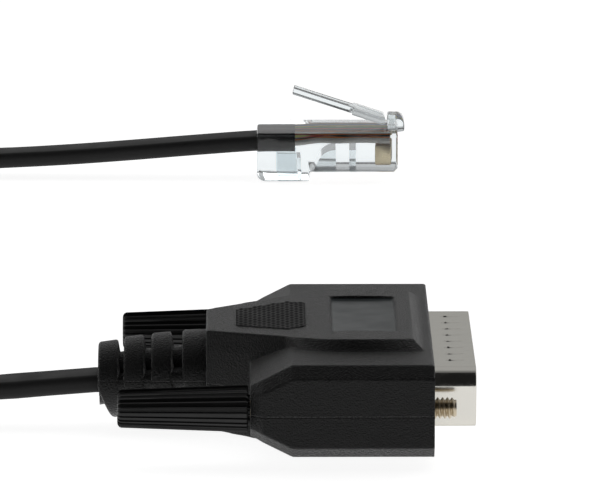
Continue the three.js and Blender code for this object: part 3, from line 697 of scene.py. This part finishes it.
def add_floor():
    bm = bmesh.new()
    bmesh.ops.create_grid(bm, x_segments=1, y_segments=1, size=FLOOR_SIZE)
    floor = object_from("floor", bm)
    paint(floor, material(
        "floor_white", (0.8, 0.8, 0.8), 0.9, Specular_IOR_Level=0.0,
        Emission_Color=(1, 1, 1, 1), Emission_Strength=0.9,
    ))


def add_lamp():
    """A wide, low softbox beyond the cable, which lights its top faces at a grazing angle."""
    lamp = bpy.data.lights.new("back_softbox", "AREA")
    lamp.shape = "RECTANGLE"
    lamp.size = LAMP_WIDTH
    lamp.size_y = LAMP_HEIGHT
    lamp.energy = LAMP_POWER
    made = new_object("back_softbox", lamp)
    made.visible_camera = False
    made.location = LAMP_PLACE
    made.rotation_mode = "QUATERNION"
    made.rotation_quaternion = (Vector(LAMP_AIM) - Vector(LAMP_PLACE)).to_track_quat("-Z", "Y")


def add_world():
    """A pale far side and a dark side behind the camera, as in a studio lit from behind."""
    world = bpy.data.worlds.new("studio")
    bpy.context.scene.world = world
    world.use_nodes = True
    nodes, links = world.node_tree.nodes, world.node_tree.links
    background = nodes["Background"]
    direction = nodes.new("ShaderNodeTexCoord")
    split = nodes.new("ShaderNodeSeparateXYZ")
    ramp = nodes.new("ShaderNodeValToRGB")
    shift = nodes.new("ShaderNodeMapRange")
    shift.inputs["From Min"].default_value = -1
    shift.inputs["From Max"].default_value = 1
    links.new(direction.outputs["Generated"], split.inputs["Vector"])
    links.new(split.outputs["Y"], shift.inputs["Value"])
    links.new(shift.outputs["Result"], ramp.inputs["Fac"])
    links.new(ramp.outputs["Color"], background.inputs["Color"])
    for stop, (position, brightness) in zip(ramp.color_ramp.elements, (WORLD_DARK, WORLD_PALE)):
        stop.position = position
        stop.color = (brightness, brightness, brightness, 1)
    background.inputs["Strength"].default_value = 1.0


def add_camera():
    bpy.context.scene.view_settings.view_transform = "Standard"
    across = math.cos(CAMERA_ELEVATION)
    back = Vector((
        math.sin(CAMERA_AZIMUTH) * across,
        -math.cos(CAMERA_AZIMUTH) * across,
        math.sin(CAMERA_ELEVATION),
    ))
    right = (-back).cross(UP).normalized()
    rise = right.cross(-back)
    camera = new_object("camera", bpy.data.cameras.new("camera"))
    camera.data.sensor_width = SENSOR_WIDTH
    camera.data.lens = CAMERA_LENS
    camera.rotation_mode = "QUATERNION"
    camera.rotation_quaternion = Matrix((right, rise, back)).transposed().to_quaternion()
    camera.location = HOOD_ORIGIN + right * CAMERA_RIGHT + rise * CAMERA_RISE + back * CAMERA_DISTANCE
    bpy.context.scene.camera = camera


# Cord


def make_cord():
    points = route_points(HOOD_SIDE_ROUTE) + coil_points() + route_points(PLUG_SIDE_ROUTE)
    leaving = points[0][0]
    points.insert(0, (leaving + Vector((CORD_ROOT, 0, 0)), 0.0))
    section = rounded_section(CORD_WIDTH / 2, CORD_THICKNESS / 2, CORD_CORNER, CORNER_STEPS)
    cord = sweep("flat_cord", points, section)
    dress(cord, ROOT, "cord_hood_side", "cord_coil", "cord_plug_side")


def make_tie(name, angle):
    """A strap around all the turns at one place of the coil."""
    inner = COIL_INNER_RADIUS - CORD_THICKNESS / 2
    outer = COIL_INNER_RADIUS + TIE_TURNS * COIL_PITCH + CORD_THICKNESS / 2
    low = COIL_LOW + TIE_THICKNESS - CORD_WIDTH / 2
    high = COIL_HIGH + TIE_THICKNESS + CORD_WIDTH / 2
    half_across = (outer - inner) / 2 + TIE_PLAY
    half_up = (high - low) / 2 + TIE_PLAY
    sizes = [(0.0, CORD_CORNER), (TIE_THICKNESS - TIE_PLAY, CORD_CORNER + TIE_THICKNESS)]
    inside, outside = (
        rounded_section(half_across + more, half_up + more, corner, CORNER_STEPS)
        for more, corner in sizes
    )
    out = Vector((math.cos(angle), math.sin(angle), 0))
    side = UP.cross(out)
    centre = COIL_CENTRE.to_3d() + out * (inner + outer) / 2 + UP * (low + high) / 2
    rings = []
    for loop, shift in (inside, -1), (outside, -1), (outside, 1), (inside, 1), (inside, -1):
        foot = centre + side * shift * TIE_WIDTH / 2
        rings.append([foot + out * across + UP * up for across, up in loop])
    bm = bmesh.new()
    add_loft(bm, rings, closed_ends=False)
    bmesh.ops.remove_doubles(bm, verts=bm.verts, dist=MERGE_DISTANCE * MM)
    tie = object_from(name, bm, smooth_below=40)
    paint(tie, STRAP)
    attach(tie, ROOT)
    return tie


# Moulded hood


def droop(behind):
    """How far the strain relief has sunk at a distance behind the front."""
    along = (behind - NECK_REAR[0]) / (RELIEF_END - NECK_REAR[0])
    return RELIEF_DROOP * min(max(along, 0), 1) ** RELIEF_BEND


def add_collar(bm, front, rear, half_width, half_height):
    """An oval collar with rounded rims, whose lower half leans forward."""
    turns = quarter_turn(COLLAR_ROUND_STEPS)
    rim = [(COLLAR_ROUND * (1 - math.sin(t)), COLLAR_ROUND * (1 - math.cos(t))) for t in turns]
    profile = [(rear - along, inset) for inset, along in rim]
    profile += [(front + along, inset) for inset, along in reversed(rim)]
    rings = []
    for behind, inset in profile:
        sunk = droop(behind)
        made = []
        for i in range(COLLAR_SIDES):
            angle = 2 * math.pi * i / COLLAR_SIDES
            up = (half_height - inset) * math.sin(angle)
            lean = RELIEF_RAKE * max(-up, 0)
            made.append(Vector((lean - behind, (half_width - inset) * math.cos(angle), up - sunk)))
        rings.append(made)
    add_loft(bm, rings)


def add_core(bm):
    """What joins the collars: a flat web as wide as they are, and a tube around the cord."""
    web, tube = [], []
    for behind in (CORE_START, *COLLAR_STARTS, RELIEF_END - CORE_INSET):
        along = min(max((behind - COLLAR_STARTS[0]) / (RELIEF_END - COLLAR_STARTS[0]), 0), 1)
        half_width = lerp(COLLAR_HALF_WIDTHS[0], COLLAR_HALF_WIDTHS[-1], along) - CORE_INSET
        sunk = droop(behind)
        sizes = (web, half_width, CORE_HALF_HEIGHT), (tube, TUBE_HALF_WIDTH, TUBE_HALF_HEIGHT)
        for rings, across, up in sizes:
            section = rounded_section(across, up, up - CORE_INSET, CORNER_STEPS)
            rings.append(ring(-behind, [(y, z - sunk) for y, z in section]))
    add_loft(bm, web)
    add_loft(bm, tube)


def neck_top(behind):
    share = (behind - NECK_SHOULDER[0]) / (NECK_REAR[0] - NECK_SHOULDER[0])
    return lerp(NECK_SHOULDER[1], NECK_REAR[1], share)


def grip_half_width(behind):
    for (rear, rear_width), (front, front_width) in zip(GRIP_CORNERS, GRIP_CORNERS[1:]):
        if front <= behind <= rear:
            return lerp(rear_width, front_width, (behind - rear) / (front - rear))
    return 0.0


def add_grip(bm):
    """Staggered ridges pressed into a patch of the neck's top."""
    rear, front = GRIP_CORNERS[0][0], GRIP_CORNERS[-1][0]
    columns = round((rear - front) / GRIP_STEP)
    widest = max(width for _, width in GRIP_CORNERS)
    rows = round(2 * widest / GRIP_STEP)
    grid = []
    for c in range(columns + 1):
        behind = lerp(rear, front, c / columns)
        half = grip_half_width(behind)
        line = []
        wave_along = math.cos(math.pi * behind / GRIP_PITCH_ALONG)
        for r in range(rows + 1):
            y = lerp(-half, half, r / rows)
            wave = wave_along * math.cos(math.pi * y / GRIP_PITCH_ACROSS)
            height = neck_top(behind) + GRIP_LIFT + GRIP_DEPTH * (wave + 1) / 2
            line.append(bm.verts.new((-behind, y, height)))
        grid.append(line)
    made = []
    for near, far in zip(grid, grid[1:]):
        for r in range(rows):
            made.append(bm.faces.new((near[r], far[r], far[r + 1], near[r + 1])))
    return made


def make_hood():
    bm = cad_copy("moulded_hood", HOOD_ORIGIN)
    cut_away(bm, (-NECK_CUT, 0, 0), (-1, 0, 0))
    bmesh.ops.holes_fill(bm, edges=[e for e in bm.edges if e.is_boundary])
    bm = reskinned(bm)
    for start, half_width, half_height in zip(COLLAR_STARTS, COLLAR_HALF_WIDTHS, COLLAR_HALF_HEIGHTS):
        front = start if start != COLLAR_STARTS[0] else start - COLLAR_LENGTH
        add_collar(bm, front, start + COLLAR_LENGTH, half_width, half_height)
    add_core(bm)
    rear, front, half_width = LABEL_ZONE
    for face in bm.faces:
        middle = face.calc_center_median()
        inside = rear < middle.x < front and abs(middle.y) < half_width
        if inside and abs(abs(middle.z) - LABEL_FLOOR) < LABEL_TOLERANCE:
            face.material_index = 1
    for face in add_grip(bm):
        face.material_index = 2
    piece = object_from("hood", bm, smooth_below=60, origin=HOOD_ORIGIN)
    paint(piece, HOOD_PVC, LABEL_PVC, GRIP_PVC)
    dress(piece, ROOT, "moulded_hood")


# Metal front and pins


def d_outline(inset):
    tan, cos = math.tan(SHELL_SIDE_ANGLE), math.cos(SHELL_SIDE_ANGLE)
    half = SHELL_HEIGHT / 2

    def half_width(z):
        return SHELL_HALF_WIDTH - (half - z) * tan - inset / cos

    low, high = -half + inset, half - inset
    corners = [
        (-half_width(low), low),
        (half_width(low), low),
        (half_width(high), high),
        (-half_width(high), high),
    ]
    return rounded_polygon(corners, SHELL_CORNER - inset, SHELL_CORNER_STEPS)


def dimple(x, y):
    """How deep the row of teardrop dimples is at a place on the shell's top or bottom."""
    reach = (DIMPLES - 1) / 2 * DIMPLE_PITCH
    nearest = round((y + reach) / DIMPLE_PITCH) * DIMPLE_PITCH - reach
    if abs(nearest) > reach + DIMPLE_PITCH / 2:
        return 0.0
    away = math.hypot(x - DIMPLE_AT, y - nearest)
    dot = DIMPLE_DEPTH * smoothstep(DIMPLE_STEEPNESS * (1 - away / DIMPLE_RADIUS))
    along = (x - DIMPLE_AT) / (DIMPLE_TAIL - DIMPLE_AT)
    tail = 0.0
    if 0 < along < 1:
        narrowing = DIMPLE_RADIUS * (1 - DIMPLE_NARROWING * along)
        tail = DIMPLE_TAIL_DEPTH * (1 - along) * smoothstep(1 - abs(y - nearest) / narrowing)
    return max(dot, tail)


def make_shell():
    bm = cad_copy("metal_shell", HOOD_ORIGIN)
    cut_away(bm, (FLANGE_FACE, 0, 0), (1, 0, 0))
    stations = [(0.0, -SHELL_ROOT)]
    for turn in quarter_turn(SHELL_ROOT_STEPS)[1:]:
        stations.append((
            SHELL_ROOT * (1 - math.cos(turn)) + SHELL_ROOT_GAP,
            -SHELL_ROOT * (1 - math.sin(turn)),
        ))
    straight_end = SHELL_FRONT - SHELL_LIP
    steps = round((straight_end - SHELL_ROOT) / SHELL_MESH)
    stations += [(lerp(SHELL_ROOT, straight_end, s / steps), 0.0) for s in range(1, steps + 1)]
    middle = SHELL_WALL / 2
    for s in range(1, SHELL_LIP_STEPS + 1):
        turn = s / SHELL_LIP_STEPS * math.pi
        stations.append((straight_end + SHELL_LIP * math.sin(turn), middle * (1 - math.cos(turn))))
    stations.append((SHELL_REAR, SHELL_WALL))
    outside = d_outline(0.0)
    sides = zip(outside, outside[1:] + outside[:1])
    steps_along = [max(1, math.ceil((b - a).length / SHELL_MESH)) for a, b in sides]
    flat = SHELL_HEIGHT / 2 - FLAT_TOLERANCE
    rings = []
    for x, inset in stations:
        outline = d_outline(inset)
        section = []
        for i, count in enumerate(steps_along):
            here, following = outline[i], outline[(i + 1) % len(outline)]
            section += [here.lerp(following, s / count) for s in range(count)]
        if inset == 0.0:
            section = [
                (y, z - math.copysign(dimple(x, y), z)) if abs(z) > flat else (y, z) for y, z in section
            ]
        rings.append(ring(x, section))
    add_loft(bm, rings, closed_ends=False)
    piece = object_from("d_shell", bm, smooth_below=35, origin=HOOD_ORIGIN)
    dress(piece, ROOT, "metal_shell")


def make_pins():
    """The twenty-five pins with rounded tips."""
    bm = bmesh.new()
    names = [name for name in NODES if name.startswith("pin_") and name != "pin_insulator"]
    for name in names:
        low, high = (corner - HOOD_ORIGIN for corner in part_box(name))
        y, z = (low.y + high.y) / 2 / MM, (low.z + high.z) / 2 / MM
        rear, tip = low.x / MM, high.x / MM
        profile = [(rear, PIN_RADIUS), (tip - PIN_RADIUS, PIN_RADIUS)]
        for turn in map(math.radians, PIN_TIP_ANGLES):
            profile.append((tip - PIN_RADIUS * (1 - math.sin(turn)), PIN_RADIUS * math.cos(turn)))
        add_loft(bm, [ring(x, circle(r, PIN_SIDES, y, z)) for x, r in profile])
    piece = object_from("contact_pins", bm, smooth_below=40, origin=HOOD_ORIGIN)
    dress(piece, ROOT, *names)


# Thumbscrews


def make_screw():
    bm = bmesh.new()
    shank = circle(SHANK_RADIUS, THREAD_SIDES)
    rings = [ring(SCREW_REAR, shank), ring(THREAD_START, shank)]
    steps = round((THREAD_END - THREAD_START) / THREAD_PITCH * THREAD_STEPS_PER_TURN)
    for s in range(steps + 1):
        x = lerp(THREAD_START, THREAD_END, s / steps)
        run_in = min(1.0, (THREAD_END - x) / THREAD_PITCH, (x - THREAD_START) / THREAD_PITCH)
        section = []
        for i in range(THREAD_SIDES):
            phase = (x / THREAD_PITCH - i / THREAD_SIDES) % 1
            crest = 1 - min(abs(2 * phase - 1) / THREAD_FLANKS, 1)
            height = min(crest * THREAD_FLATTENING, 1) * max(run_in, 0)
            radius = lerp(THREAD_ROOT, THREAD_RADIUS, height)
            angle = 2 * math.pi * i / THREAD_SIDES
            section.append((radius * math.cos(angle), radius * math.sin(angle)))
        rings.append(ring(x, section))
    rings.append(ring(THREAD_END, circle(THREAD_ROOT * THREAD_POINT, THREAD_SIDES)))
    add_loft(bm, rings)
    return bm


def make_knob():
    rear = KNOB_FRONT + KNOB_LENGTH
    stations = [
        (rear - KNOB_ROUND * (1 - math.cos(turn)), KNOB_ROUND * (1 - math.sin(turn)))
        for turn in quarter_turn(KNOB_ROUND_STEPS)
    ]
    for s in range(1, KNOB_BODY_STEPS + 1):
        stations.append((lerp(rear - KNOB_ROUND, KNOB_FRONT + KNOB_CHAMFER, s / KNOB_BODY_STEPS), 0.0))
    stations.append((KNOB_FRONT, KNOB_CHAMFER))
    stations.append((KNOB_FRONT, KNOB_FRONT_RADIUS - BOSS_RADIUS))
    stations.append((KNOB_FRONT - BOSS_LENGTH, KNOB_FRONT_RADIUS - BOSS_RADIUS))
    rings = []
    for behind, inset in stations:
        share = min((rear - behind) / KNOB_LENGTH, 1)
        radius = lerp(KNOB_REAR_RADIUS, KNOB_FRONT_RADIUS, share) - inset
        section = []
        for rib in range(KNOB_RIBS):
            for phase, height in RIB_PROFILE:
                angle = 2 * math.pi * (rib + phase) / KNOB_RIBS
                reach = radius - RIB_HEIGHT * (1 - height)
                section.append((reach * math.cos(angle), reach * math.sin(angle)))
        rings.append(ring(-behind, section))
    bm = bmesh.new()
    add_loft(bm, rings)
    return bm


def make_thumbscrews():
    for side in ("near", "far"):
        low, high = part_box(f"thumbscrew_screw_{side}")
        axis = Vector((HOOD_ORIGIN.x, (low.y + high.y) / 2, (low.z + high.z) / 2))
        body = f"thumbscrew_{side}"
        screw = object_from(f"thread_{side}", make_screw(), smooth_below=40, origin=axis)
        dress(screw, body, f"thumbscrew_screw_{side}")
        knob = object_from(f"knob_{side}", make_knob(), smooth_below=25, origin=axis)
        dress(knob, body, f"thumbscrew_knob_{side}")


# Plug


def slab(bm, side, low, high):
    """A side view of (x, z) pairs drawn out from y = low to high."""
    add_loft(bm, [[Vector((x, y, z)) for x, z in side] for y in (low, high)])


def arc(centre_x, centre_z, radius, start, end, steps=6):
    """Points of an arc from one angle in degrees to the other."""
    angles = [math.radians(lerp(start, end, s / steps)) for s in range(steps + 1)]
    return [(centre_x + radius * math.cos(a), centre_z + radius * math.sin(a)) for a in angles]


def add_mesh(bm, other):
    """Adds another mesh to the first and frees it."""
    mesh = bpy.data.meshes.new("other")
    other.to_mesh(mesh)
    other.free()
    bm.from_mesh(mesh)
    bpy.data.meshes.remove(mesh)


def add_cavity(bm, side, half_width, middle=0):
    """An air space inside the clear plastic, whose faces look inwards."""
    hollow = bmesh.new()
    slab(hollow, side, middle - half_width, middle + half_width)
    bmesh.ops.recalc_face_normals(hollow, faces=hollow.faces)
    bmesh.ops.reverse_faces(hollow, faces=hollow.faces)
    add_mesh(bm, hollow)


def make_plug():
    bm = bmesh.new()
    body = arc(PLUG_HEEL, PLUG_HEEL, PLUG_HEEL, 180, 270)
    body += [(PLUG_STEP_AT, 0), (PLUG_STEP_AT, PLUG_STEP), (PLUG_LENGTH - PLUG_TOE, PLUG_STEP)]
    body += [(PLUG_LENGTH, PLUG_STEP + PLUG_TOE), (PLUG_LENGTH, PLUG_TOP), (0, PLUG_TOP)]
    slab(bm, body, -PLUG_HALF_WIDTH, PLUG_HALF_WIDTH)
    bevelled(bm, PLUG_CORNER, segments=4)
    nose = bmesh.new()
    root = PLUG_TOP - NOSE_SINK
    side = [(NOSE_START, root), (PLUG_LENGTH - NOSE_SINK, root), (NOSE_FRONT, NOSE_FOOT)]
    side += arc(NOSE_FRONT - NOSE_ROUND, NOSE_TOP - NOSE_ROUND, NOSE_ROUND, 0, 90)
    side += [(NOSE_START, NOSE_TOP)]
    slab(nose, side, -NOSE_HALF_WIDTH, NOSE_HALF_WIDTH)
    bevelled(nose, NOSE_CORNER, segments=3)
    add_mesh(bm, nose)
    bmesh.ops.recalc_face_normals(bm, faces=bm.faces)
    floor = PLUG_STEP + FILM
    belly = [(BELLY_REAR, floor), (BELLY_FRONT, floor), (BELLY_FRONT, BELLY_CEILING)]
    belly += arc(BELLY_FRONT, BELLY_CEILING - BELLY_ARCH, BELLY_ARCH, 100, 150)
    add_cavity(bm, belly, BELLY_HALF_WIDTH)
    for rear, front, low, high, half_width, middle in BAR_SPACES:
        add_cavity(bm, [(rear, low), (front, low), (front, high), (rear, high)], half_width, middle)
    piece = object_from("clear_plug", bm, smooth_below=30, origin=PLUG_ORIGIN, outward=False)
    dress(piece, ROOT, "plug_body")
    bm = bevelled(cad_copy("plug_latch", PLUG_ORIGIN), LATCH_CORNER, segments=3)
    latch = object_from("clear_latch", bm, smooth_below=40, origin=PLUG_ORIGIN)
    dress(latch, "plug_latch", "plug_latch")
    return [piece.name, latch.name]


def wander(course, x, wire):
    reach, wave, shift = course
    return reach * math.sin(wave * x + shift * wire)


def make_wires():
    made = []
    for i in range(WAYS):
        way = (WAYS - 1) / 2 - i
        rings = []
        for s in range(WIRE_STATIONS):
            x = lerp(WIRE_START, WIRE_FRONT, s / (WIRE_STATIONS - 1))
            fanned = smoothstep((x - WIRE_START) / (FAN_END - WIRE_START))
            y = way * lerp(JACKET_WAY_PITCH, WAY_PITCH, fanned) + wander(WIRE_SWAY, x, i)
            z = WIRE_HEIGHT - WIRE_DIP * (1 - fanned) + wander(WIRE_BOB, x, i)
            rings.append(ring(x, circle(WIRE_RADIUS, WIRE_SIDES, y, z)))
        bm = bmesh.new()
        add_loft(bm, rings)
        piece = object_from(f"insulated_wire_{i + 1}", bm, smooth_below=50, origin=PLUG_ORIGIN)
        paint(piece, FINISHES[WIRE_SLOTS[i]])
        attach(piece, ROOT)
        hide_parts(f"wire_{i + 1}")
        made.append(piece.name)
    return made


def make_blades():
    corners = [
        (BLADE_REAR, BLADE_BOTTOM),
        (BLADE_FRONT, BLADE_BOTTOM),
        (BLADE_FRONT, BLADE_TOP),
        (BLADE_REAR, BLADE_TOP),
    ]
    side = rounded_polygon(corners, BLADE_CORNER, steps=4)
    made = []
    for i in range(WAYS):
        y = ((WAYS - 1) / 2 - i) * WAY_PITCH
        bm = bmesh.new()
        slab(bm, side, y - BLADE_THICKNESS / 2, y + BLADE_THICKNESS / 2)
        bevelled(bm, BLADE_EDGE, segments=2)
        piece = object_from(f"blade_{i + 1}", bm, smooth_below=40, origin=PLUG_ORIGIN)
        dress(piece, ROOT, f"contact_{i + 1}")
        made.append(piece.name)
    return made


add_floor()
add_world()
add_lamp()
add_camera()

for name, node in NODES.items():
    paint(node, FINISHES[SLOT_OF[name]])
make_hood()
make_shell()
make_pins()
make_thumbscrews()
plug_pieces = make_plug() + make_wires() + make_blades()
ties = [make_tie(f"coil_tie_{i + 1}", angle) for i, angle in enumerate(TIE_ANGLES)]
make_cord()
